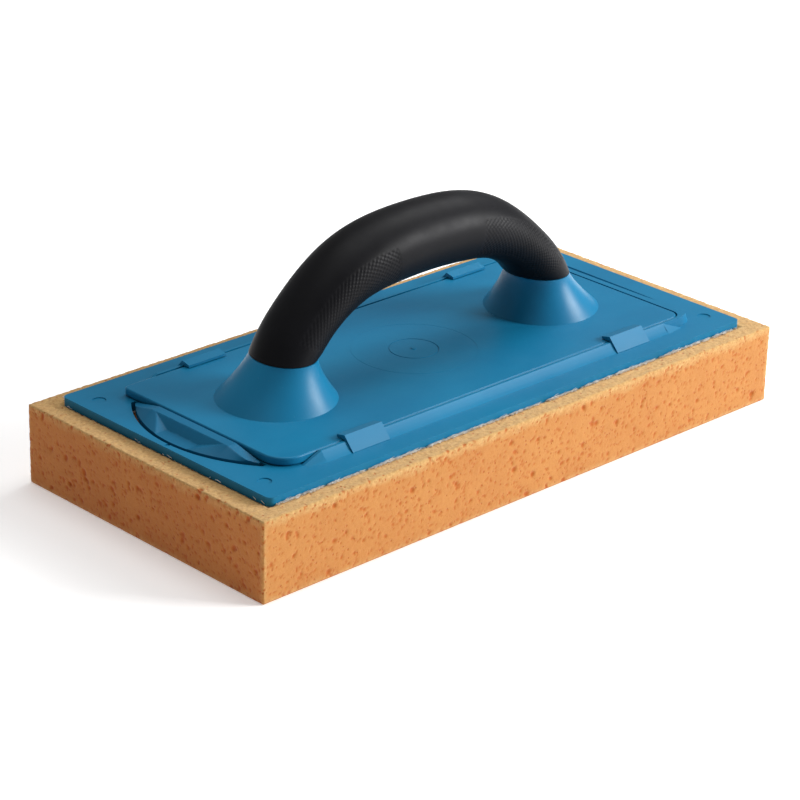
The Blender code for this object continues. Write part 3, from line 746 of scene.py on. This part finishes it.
def fringe():
    """Loose fibre ends that stand out from under the plate, thick along its sides and thin at its ends."""
    draw = random.Random(SEED + 1)
    points = []
    faces = []

    def strand(root, outward, length, thick):
        along = Vector((-outward.y, outward.x, 0))
        lean = draw.uniform(-0.7, 0.7)
        lift = draw.uniform(0.3, 1.3)
        droop = draw.uniform(0.0, 0.4)
        rings = []
        for step in range(STRAND_RINGS):
            t = step / (STRAND_RINGS - 1)
            centre = root + outward * (length * t) + along * (length * lean * t * (0.4 + 0.6 * t))
            centre.z += length * (lift * t - droop * t * t)
            radius = thick * (1 - 0.75 * t)
            ring = []
            for corner in range(STRAND_SIDES):
                angle = 2 * math.pi * corner / STRAND_SIDES
                rise = Vector((0, 0, radius * math.sin(angle)))
                ring.append(centre + along * (radius * math.cos(angle)) + rise)
            rings.append(ring)
        base = len(points)
        for ring in rings:
            points.extend(ring)
        for r in range(STRAND_RINGS - 1):
            for c in range(STRAND_SIDES):
                d = (c + 1) % STRAND_SIDES
                a = base + STRAND_SIDES * r
                b = a + STRAND_SIDES
                faces.append((a + c, a + d, b + d, b + c))
        tip = base + STRAND_SIDES * (STRAND_RINGS - 1)
        faces.append((base + 2, base + 1, base))
        faces.append((tip, tip + 1, tip + 2))

    def run(start, end, outward, fullness):
        length = (end - start).length
        for step in range(int(length / FRINGE_STEP)):
            t = (step + draw.random()) * FRINGE_STEP / length
            here = start.lerp(end, min(1.0, t))
            clump = noise.noise(here * 210 + Vector((3, 7, 1))) + 0.7 * noise.noise(here * 620)
            tuft = max(0.0, min(1.0, 0.5 + 0.9 * clump))
            if draw.random() > fullness * (1.3 * tuft + 0.05):
                continue
            root = here + Vector((0, 0, draw.uniform(0.1, 0.6) * MM))
            reach = draw.uniform(STRAND_SHORTEST, STRAND_LONGEST + STRAND_TUFT * tuft) * MM
            strand(root, outward, reach, draw.uniform(STRAND_THIN, STRAND_THICK))

    z = SPONGE_TOP - FRINGE_DROP
    x = PLATE_X - PLATE_CORNER
    y = PLATE_Y + FRINGE_OUT
    for _ in range(FRINGE_LAYERS):
        run(Vector((-x, -y, z)), Vector((x, -y, z)), Vector((0, -1, 0)), 1.0)
        run(Vector((-x, y, z)), Vector((x, y, z)), Vector((0, 1, 0)), 1.0)
    end_x = PLATE_X + FRINGE_OUT
    end_y = PLATE_Y - PLATE_CORNER
    run(Vector((-end_x, -end_y, z)), Vector((-end_x, end_y, z)), Vector((-1, 0, 0)), LEFT_END_FULLNESS)
    run(Vector((end_x, -end_y, z)), Vector((end_x, end_y, z)), Vector((1, 0, 0)), RIGHT_END_FULLNESS)
    return new_object("felt_fringe", mesh_from("felt_fringe", points, faces))


# ---------------------------------------------------------------- latch outline, base plate

def latch_arc_x(y):
    """Where the latch's bow-shaped edge lies at y."""
    radius = (LATCH_HALF_CHORD ** 2 + LATCH_DEPTH ** 2) / (2 * LATCH_DEPTH)
    return LATCH_REAR - (math.sqrt(radius ** 2 - y ** 2) - (radius - LATCH_DEPTH))


def latch_outline():
    """The opening round the latch and its tongue, in plan."""
    neck = LATCH_NECK / 2 + LATCH_SLOT
    chord = LATCH_HALF_CHORD + LATCH_SLOT
    root = LATCH_ROOT + LATCH_SLOT
    rear = LATCH_REAR + LATCH_SLOT
    outline = [(root, -neck), (root, neck), (rear, neck), (rear, chord)]
    for i in range(LATCH_ARC_STEPS + 1):
        y = LATCH_HALF_CHORD * (1 - 2 * i / LATCH_ARC_STEPS)
        outline.append((latch_arc_x(y) - LATCH_SLOT, y * chord / LATCH_HALF_CHORD))
    outline += [(rear, -chord), (rear, -neck)]
    return outline[::-1]


def ridge_section(x, y, direction, wall, foot, top):
    """One section of the ridge: its inner wall stands at (x, y), and it leans outward along direction."""
    low = PLATE_TOP - SINK
    dx, dy = direction
    base = min(top, PLATE_TOP)
    knee = wall + (foot - wall) * RIDGE_KNEE_RUN
    return [
        (x, y, low),
        (x, y, top),
        (x + dx * wall, y + dy * wall, top),
        (x + dx * knee, y + dy * knee, base + (top - base) * RIDGE_KNEE_RISE),
        (x + dx * foot, y + dy * foot, base),
        (x + dx * foot, y + dy * foot, low),
    ]


def ridge():
    """The rails and the stop as one raised ridge, from the front rail round the stop to the rear rail."""
    inner_y = CARRIER_SIDE + RIDGE_GAP
    stop_x = CARRIER_RIGHT + STOP_GAP
    top = CARRIER_TOP
    half = []
    for x, foot, level in (
        (RIDGE_LEFT, RIDGE_SLOPE_FOOT, PLATE_TOP - RIDGE_START_DROP),
        (RIDGE_LEFT + RIDGE_RAMP, RIDGE_SLOPE_FOOT, top),
        (RIDGE_SLOPE_END, RIDGE_SLOPE_FOOT, top),
        (RIDGE_SLOPE_END + RIDGE_STEP, RIDGE_WALL_FOOT, top),
    ):
        half.append(ridge_section(x, -inner_y, (0, -1), RIDGE_WALL, foot, level))
    for i in range(STOP_CORNER_STEPS + 1):
        share = i / STOP_CORNER_STEPS
        angle = math.radians(-90 + 90 * share)
        eased = share * share * (3 - 2 * share)
        wall = RIDGE_WALL + (STOP_WALL - RIDGE_WALL) * eased
        foot = RIDGE_WALL_FOOT + (STOP_FOOT - RIDGE_WALL_FOOT) * eased
        across = math.cos(angle)
        along = math.sin(angle)
        x = stop_x - STOP_CORNER + STOP_CORNER * across
        y = STOP_CORNER - inner_y + STOP_CORNER * along
        half.append(ridge_section(x, y, (across, along), wall, foot, top))
    mirrored = [[(x, -y, z) for x, y, z in section] for section in half[::-1]]
    return loft("ridge", half + mirrored)


def wedge(sign):
    """The rail's slope where it runs out against the end of its wall."""
    wall = sign * (CARRIER_SIDE + RIDGE_GAP + RIDGE_WALL)
    inner = wall - sign * RIDGE_WALL / 2
    foot = sign * (CARRIER_SIDE + RIDGE_GAP + RIDGE_SLOPE_FOOT)
    start = RIDGE_SLOPE_END - RIDGE_STEP
    plan = (
        (start, inner),
        (start, foot),
        (WEDGE_TIP, foot - sign * WEDGE_NARROWING),
        (WEDGE_WALL_END, inner),
    )
    shape = bmesh.new()
    for x, y in plan:
        shape.verts.new((x, y, PLATE_TOP - SINK))
        shape.verts.new((x, y, PLATE_TOP))
    shape.verts.new((start, wall, CARRIER_TOP - RIDGE_STEP / 4))
    bmesh.ops.convex_hull(shape, input=shape.verts)
    bmesh.ops.recalc_face_normals(shape, faces=shape.faces)
    mesh = bpy.data.meshes.new("wedge")
    shape.to_mesh(mesh)
    shape.free()
    return new_object("wedge", mesh)


def stop_groove():
    """A shallow groove along the stop's outer crest, which fades out at both ends."""
    rings = []
    for i in range(GROOVE_STEPS + 1):
        share = i / GROOVE_STEPS
        y = GROOVE_START + (GROOVE_END - GROOVE_START) * share
        fullness = math.sin(math.pi * share) ** 0.5
        deep = GROOVE_DEPTH * fullness + GROOVE_LEAST_DEPTH
        half = GROOVE_WIDTH / 2 * fullness + GROOVE_LEAST_HALF
        rings.append([
            (GROOVE_X - half, y, CARRIER_TOP + THROUGH),
            (GROOVE_X - half, y, CARRIER_TOP),
            (GROOVE_X, y, CARRIER_TOP - deep),
            (GROOVE_X + half, y, CARRIER_TOP),
            (GROOVE_X + half, y, CARRIER_TOP + THROUGH),
        ])
    return loft("stop_groove", rings)


def clip_section(sign):
    """A roof-shaped clip as (y, z): a tongue over the handle plate, a ridge and a sloping back."""
    edge = CARRIER_SIDE + RIDGE_GAP
    top = CARRIER_TOP
    foot = edge + RIDGE_SLOPE_FOOT + CLIP_PROUD
    low = PLATE_TOP - SINK
    return [
        (sign * (edge - CLIP_REACH), top + GAP),
        (sign * (edge - CLIP_REACH), top + GAP + CLIP_TONGUE),
        (sign * (edge + CLIP_PROUD), top + CLIP_RIDGE),
        (sign * foot, PLATE_TOP + CLIP_PROUD),
        (sign * foot, low),
        (sign * (edge + CLIP_PROUD), low),
        (sign * (edge + CLIP_PROUD), top + GAP),
    ]


def base_plate():
    outline = rounded_rectangle(-PLATE_X, PLATE_X, -PLATE_Y, PLATE_Y, PLATE_CORNER)
    plate = prism("base_plate_moulding", outline, "Z", PLATE_BOTTOM, PLATE_TOP)
    combine(plate, ridge(), "UNION")
    combine(plate, stop_groove(), "DIFFERENCE")
    for sign in (-1, 1):
        combine(plate, wedge(sign), "UNION")
        for centre in CLIP_CENTRES:
            clip = prism("clip", clip_section(sign), "X", centre - CLIP_LENGTH / 2, centre + CLIP_LENGTH / 2)
            combine(plate, clip, "UNION")
    window = prism("latch_window", latch_outline(), "Z", PLATE_BOTTOM - THROUGH, PLATE_TOP + THROUGH)
    combine(plate, window, "DIFFERENCE")
    bevelled(plate, PLATE_BEVEL, PLATE_BEVEL_ANGLE)
    for x, y, radius in MARKS:
        mark = disc("mark", x * MM, y * MM, radius * MM, PLATE_TOP - MARK_DEPTH, PLATE_TOP + THROUGH)
        combine(plate, mark, "DIFFERENCE")
    return smooth(plate, 40)


# ---------------------------------------------------------------- latch

def latch_rise(x, y):
    """Height of the thumb pad over the plate: a lens with sloping ends and walls, and a scoop in it."""
    reach = abs(y)
    arc_x = latch_arc_x(y)
    ramp = (reach - LATCH_LEVEL) / (LATCH_END - LATCH_LEVEL)
    crown = LATCH_RISE - max(0.0, ramp) * (LATCH_RISE - LATCH_FOOT)
    rim_x = LATCH_REAR - LATCH_RIM
    wall_run = rim_x - arc_x
    envelope = crown
    if x < rim_x and wall_run > 0:
        envelope = LATCH_FOOT + (crown - LATCH_FOOT) * (x - arc_x) / wall_run
    back = (x - (rim_x - SCOOP_BACK)) / SCOOP_BACK
    flank = (reach - SCOOP_HALF) / (SCOOP_TOP_HALF - SCOOP_HALF)
    scoop = SCOOP_FLOOR + (LATCH_RISE - SCOOP_FLOOR) * max(0.0, back, flank)
    return min(envelope, scoop)


def latch():
    """The thumb pad as a grid over its bow-shaped plan, joined to the tongue under the handle plate."""
    bottom = PLATE_TOP - LATCH_THICKNESS
    top = []
    low = []
    for row in range(LATCH_ROWS + 1):
        y = -LATCH_END + 2 * LATCH_END * row / LATCH_ROWS
        arc_x = latch_arc_x(y)
        line = []
        for column in range(LATCH_COLUMNS + 1):
            x = LATCH_REAR + (arc_x - LATCH_REAR) * column / LATCH_COLUMNS
            line.append((x, y, PLATE_TOP + latch_rise(x, y)))
        top.append(line)
        low.append([(x, y, bottom) for x, y, _ in line])
    points = [p for line in top for p in line] + [p for line in low for p in line]
    width = LATCH_COLUMNS + 1
    under = (LATCH_ROWS + 1) * width
    faces = []
    for r in range(LATCH_ROWS):
        for c in range(LATCH_COLUMNS):
            a = r * width + c
            faces.append((a, a + 1, a + width + 1, a + width))
            faces.append((under + a, under + a + width, under + a + width + 1, under + a + 1))
        for c in (0, LATCH_COLUMNS):
            a = r * width + c
            faces.append((a, a + width, under + a + width, under + a))
    for r in (0, LATCH_ROWS):
        for c in range(LATCH_COLUMNS):
            a = r * width + c
            faces.append((a, a + 1, under + a + 1, under + a))
    pad = new_object("release_latch_pad", facing_out(mesh_from("latch", points, faces)))
    half = LATCH_NECK / 2
    start = LATCH_REAR - TONGUE_OVERLAP
    tongue_outline = [(start, -half), (LATCH_ROOT, -half), (LATCH_ROOT, half), (start, half)]
    tongue = prism("tongue", tongue_outline, "Z", bottom + TONGUE_LOW, PLATE_TOP - TONGUE_DROP)
    combine(pad, tongue, "UNION")
    return smooth(pad, 24)


# ---------------------------------------------------------------- handle

HANDLE_EASING = 180
FOOT_TURN = 1.5


def smooth_value(values, at):
    """Catmull-Rom through the values, at a place counted in stations."""
    i = min(int(at), len(values) - 2)
    t = at - i
    before = values[i - 1] if i > 0 else 2 * values[0] - values[1]
    after = values[i + 2] if i + 2 < len(values) else 2 * values[-1] - values[-2]
    a, b = values[i], values[i + 1]
    return 0.5 * (
        2 * a + (b - before) * t + (2 * before - 5 * a + 4 * b - after) * t * t
        + (3 * a - before - 3 * b + after) * t ** 3
    )


def handle_frames(steps):
    """Along the handle: centre, outward direction, and the two half widths, eased into one smooth sweep."""
    half = [((x * MM, z * MM), p * MM, q * MM) for (x, z), p, q in HANDLE_STATIONS]
    stations = [((-x, z), p, q) for (x, z), p, q in half[:0:-1]] + half
    centres = [Vector((x, 0, z)) for (x, z), _, _ in stations]
    last = len(stations) - 1
    rows = []
    for step in range(steps + 1):
        at = last * step / steps
        centre = smooth_value(centres, at)
        rows.append([
            centre.x, centre.z,
            smooth_value([p for _, p, _ in stations], at),
            smooth_value([q for _, _, q in stations], at),
        ])
    rows = np.array(rows)
    for _ in range(int(steps * steps / HANDLE_EASING)):
        rows[1:-1] = 0.25 * rows[:-2] + 0.5 * rows[1:-1] + 0.25 * rows[2:]
    frames = []
    for step, (x, z, p, q) in enumerate(rows):
        ahead = rows[min(step + 1, steps)] - rows[max(step - 1, 0)]
        normal = Vector((-ahead[1], 0, ahead[0])).normalized()
        level = Vector((-1 if x < 0 else 1, 0, 0))
        reach = last * min(step, steps - step) / steps
        blend = max(0.0, 1 - reach) ** FOOT_TURN
        outward = (normal * (1 - blend) + level * blend).normalized()
        frames.append((Vector((x, 0, z)), outward, p, q))
    return frames


GRIP_STEPS = 420
GRIP_AROUND = 208
BORE_STEPS = 60
KNURL_PITCH = 1.5 * MM
KNURL_DEPTH = 0.26 * MM
KNURL_SLANT = 1.4
KNURL_ROUND = 2 * math.pi * 14.5 * MM
PATCH_START = 0.28
PATCH_END = 0.93
PATCH_WIDE_AT = 0.62
PATCH_FADE = 0.02
PATCH_UPPER = 50
PATCH_UPPER_RISE = 26
PATCH_LOWER = 132
PATCH_SIDE_FADE = 4


def patch_share(along, angle):
    """How far inside a knurled patch a point lies, 0 to 1. Along is 0 at the crown and 1 at a foot."""
    flank = abs(math.degrees(angle))
    upper = PATCH_UPPER + PATCH_UPPER_RISE * max(0.0, 1 - along / PATCH_WIDE_AT)
    from_start = (along - PATCH_START) / PATCH_FADE
    from_end = (PATCH_END - along) / PATCH_FADE
    from_upper = (flank - upper) / PATCH_SIDE_FADE
    from_lower = (PATCH_LOWER - flank) / PATCH_SIDE_FADE
    return max(0.0, min(1.0, from_start, from_end, from_upper, from_lower))


def grip():
    """The overmould as a tube round the core's bore, with two knurled patches on its flanks."""
    frames = handle_frames(GRIP_STEPS)
    lengths = [0.0]
    for (a, _, _, _), (b, _, _, _) in zip(frames, frames[1:]):
        lengths.append(lengths[-1] + (b - a).length)
    total = lengths[-1]
    points = []
    for (centre, outward, p, q), run in zip(frames, lengths):
        along = abs(2 * run / total - 1)
        for i in range(GRIP_AROUND):
            angle = 2 * math.pi * i / GRIP_AROUND
            signed = angle if angle <= math.pi else angle - 2 * math.pi
            spot = centre + outward * (p * math.cos(angle)) + Vector((0, q * math.sin(angle), 0))
            share = patch_share(along, signed)
            if share > 0:
                u = run / KNURL_PITCH
                v = signed / (2 * math.pi) * KNURL_ROUND / KNURL_PITCH
                one_way = abs(math.sin(math.pi * (u + v) / KNURL_SLANT))
                other_way = abs(math.sin(math.pi * (u - v) / KNURL_SLANT))
                stud = one_way * other_way
                normal = (outward * (math.cos(angle) / p) + Vector((0, math.sin(angle) / q, 0))).normalized()
                spot = spot - normal * (share * KNURL_DEPTH * (1 - stud ** 0.6))
            points.append(spot)
    bore = CORE_RADIUS + GAP
    inner = []
    for step in range(BORE_STEPS + 1):
        centre, outward, _, _ = frames[round(GRIP_STEPS * step / BORE_STEPS)]
        for i in range(GRIP_AROUND):
            angle = 2 * math.pi * i / GRIP_AROUND
            aside = Vector((0, bore * math.sin(angle), 0))
            inner.append(centre + outward * (bore * math.cos(angle)) + aside)
    faces = []

    def skin(base, rows):
        for r in range(rows):
            for i in range(GRIP_AROUND):
                j = (i + 1) % GRIP_AROUND
                a = base + r * GRIP_AROUND
                b = a + GRIP_AROUND
                faces.append((a + i, a + j, b + j, b + i))

    skin(0, GRIP_STEPS)
    skin(len(points), BORE_STEPS)
    for outer_ring, inner_ring in ((0, 0), (GRIP_STEPS, BORE_STEPS)):
        for i in range(GRIP_AROUND):
            j = (i + 1) % GRIP_AROUND
            a = outer_ring * GRIP_AROUND
            b = len(points) + inner_ring * GRIP_AROUND
            faces.append((a + i, a + j, b + j, b + i))
    made = new_object("handle_grip_overmould", facing_out(mesh_from("grip", points + inner, faces)))
    made.data.shade_smooth()
    made.data.set_sharp_from_angle(angle=math.radians(50))
    return made


def boss_rings(sign, shrink, low, high, steps, around):
    """Level sections of a trumpet-shaped boss between two heights, each drawn in by shrink."""
    top_x = HANDLE_STATIONS[-1][1] * MM
    top_y = HANDLE_STATIONS[-1][2] * MM
    rings = []
    for step in range(steps + 1):
        z = low + (high - low) * step / steps
        t = (BOSS_TOP_Z - z) / (BOSS_TOP_Z - CARRIER_TOP)
        flare = max(0.0, t) ** BOSS_FLARE
        centre_x = BOSS_TOP_X + (BOSS_FOOT_X - BOSS_TOP_X) * t
        half_x = top_x + (BOSS_FOOT_RADIUS - top_x) * flare - shrink
        half_y = top_y + (BOSS_FOOT_RADIUS - top_y) * flare - shrink
        ring = []
        for i in range(around):
            angle = 2 * math.pi * i / around
            ring.append((sign * (centre_x + half_x * math.cos(angle)), half_y * math.sin(angle), z))
        rings.append(ring)
    return rings


def ring_groove(name, radius, width, depth):
    """A turned ring, to cut a shallow groove."""
    outer = arc((0, 0), radius + width / 2, 0, 354, 59)
    inner = arc((0, 0), radius - width / 2, 0, 354, 59)
    low = CARRIER_TOP - depth
    high = CARRIER_TOP + THROUGH
    section = ((inner, low), (outer, low), (outer, high), (inner, high))
    rings = [[(x, y, z) for x, y in circle] for circle, z in section]
    return loft(name, rings, closed=True)


def handle_plate():
    """The sliding plate with its two hollow bosses and the rings of its moulding gate."""
    side = CARRIER_SIDE
    left = CARRIER_LEFT
    right = CARRIER_RIGHT
    rear = CARRIER_REAR_CORNER
    front = CARRIER_CORNER
    far = CARRIER_STOP_CORNER
    outline = arc((left + rear, side - rear), rear, 90, 180, 8)
    outline += arc((left + front, front - side), front, 180, 270, 12)
    outline += arc((right - far, far - side), far, 270, 360, 10)
    outline += arc((right - far, side - far), far, 0, 90, 10)
    plate = prism("handle_plate_moulding", outline, "Z", PLATE_TOP + GAP, CARRIER_TOP)
    bevelled(plate, CARRIER_BEVEL)
    ceiling = BOSS_TOP_Z - BOSS_CEILING
    for sign in (-1, 1):
        solid_rings = boss_rings(sign, 0, CARRIER_TOP - THROUGH, BOSS_TOP_Z, BOSS_STEPS, BOSS_AROUND)
        combine(plate, loft("boss", solid_rings), "UNION")
        hollow_rings = boss_rings(sign, BOSS_WALL, PLATE_TOP, ceiling, HOLLOW_STEPS, HOLLOW_AROUND)
        combine(plate, loft("boss_hollow", hollow_rings), "DIFFERENCE")
        socket = disc("socket", sign * BOSS_TOP_X, 0, SOCKET_RADIUS, SOCKET_LOW, SOCKET_HIGH)
        combine(plate, socket, "DIFFERENCE")
    for name, radius, width, depth in GATE_RINGS:
        combine(plate, ring_groove(name, radius * MM, width * MM, depth * MM), "DIFFERENCE")
    dot_top = CARRIER_TOP + GATE_DOT_RISE
    dot = disc("gate_dot", 0, 0, GATE_DOT_RADIUS, CARRIER_TOP - THROUGH, dot_top, GATE_DOT_SIDES)
    combine(plate, dot, "UNION")
    return smooth(plate)


# ---------------------------------------------------------------- studio

def camera():
    """The camera at the photograph's viewing angle."""
    right = Vector(CAMERA_RIGHT)
    up = Vector(CAMERA_UP)
    back = right.cross(up)
    data = bpy.data.cameras.new("camera")
    data.lens = CAMERA_LENS
    data.sensor_width = CAMERA_SENSOR
    made = bpy.data.objects.new("camera", data)
    axes = Matrix((right, up, back)).transposed().to_4x4()
    made.matrix_world = Matrix.Translation(CAMERA_PLACE) @ axes
    bpy.context.scene.collection.objects.link(made)
    bpy.context.scene.camera = made


def softbox(name, place, target, size, energy):
    data = bpy.data.lights.new(name, "AREA")
    data.shape = "RECTANGLE"
    data.size = size[0]
    data.size_y = size[1]
    data.energy = energy
    made = bpy.data.objects.new(name, data)
    made.location = place
    aim = Vector(target) - Vector(place)
    made.rotation_mode = "QUATERNION"
    made.rotation_quaternion = aim.to_track_quat("-Z", "Y")
    bpy.context.scene.collection.objects.link(made)


def studio():
    world = bpy.data.worlds.new("studio")
    world.use_nodes = True
    light = world.node_tree.nodes["Background"].inputs
    light["Color"].default_value = (1.0, 1.0, 1.0, 1.0)
    light["Strength"].default_value = 0.25
    bpy.context.scene.world = world
    bpy.context.scene.view_settings.view_transform = "Standard"
    softbox("key", (1.32, -1.28, 0.80), (0, 0, 0.03), (0.9, 0.7), 51)
    softbox("top", (0.2, 0.3, 2.0), (0, 0, 0), (1.4, 1.4), 15)
    softbox("side", (0.45, 0.1, 0.6), (0.05, 0, 0.03), (0.35, 0.35), 1.6)
    half = FLOOR_HALF
    z = SPONGE_LOW.z - FLOOR_DROP
    corners = [(-half, -half, z), (half, -half, z), (half, half, z), (-half, half, z)]
    floor = new_object("floor", mesh_from("floor", corners, [(0, 1, 2, 3)]))
    floor.data.materials.append(studio_floor())


def painted(piece, material):
    piece.data.materials.clear()
    piece.data.materials.append(material)


def finished(piece, material, body, slot, *nodes):
    """Paint a piece, put it on its body, and let it stand for its CAD nodes. The slot is not used."""
    painted(piece, material)
    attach(piece, body)
    if nodes:
        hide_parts(*nodes)
    return piece


camera()
studio()

plate_blue = blue_plastic("petrol_blue_plate", (0.008, 0.178, 0.335), (0.006, 0.148, 0.290), 0.38)
carrier_blue = blue_plastic("petrol_blue_carrier", (0.008, 0.178, 0.335), (0.006, 0.146, 0.290), 0.37)
# The latch's blue is darker than the plate's: painted shade standing in for the shade on its scoop's walls.
latch_blue_shaded = blue_plastic("petrol_blue_latch", (0.006, 0.140, 0.272), (0.004, 0.112, 0.226), 0.38)
white = fibre_white()

pad = finished(sponge(), sponge_foam(), "base", "orange_sponge", "sponge_pad")
felt = finished(felt_layer(), white, "base", "white_fibre", "bonding_felt")
fibres = finished(fringe(), white, "base", "white_fibre")
finished(base_plate(), plate_blue, "base", "blue_plate", "base_plate")
finished(latch(), latch_blue_shaded, "latch", "blue_latch", "release_latch")
finished(handle_plate(), carrier_blue, "handle", "blue_handle_plate", "handle_plate")
finished(grip(), grip_rubber(), "handle", "black_soft_grip", "handle_grip")

core_finish = hard_core_plastic()
steel_finish = zinc_steel()
for name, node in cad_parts.items():
    if name == "handle_core":
        painted(node, core_finish)
    elif name.startswith(("handle_screw", "handle_washer")):
        painted(node, steel_finish)

bpy.context.view_layer.update()
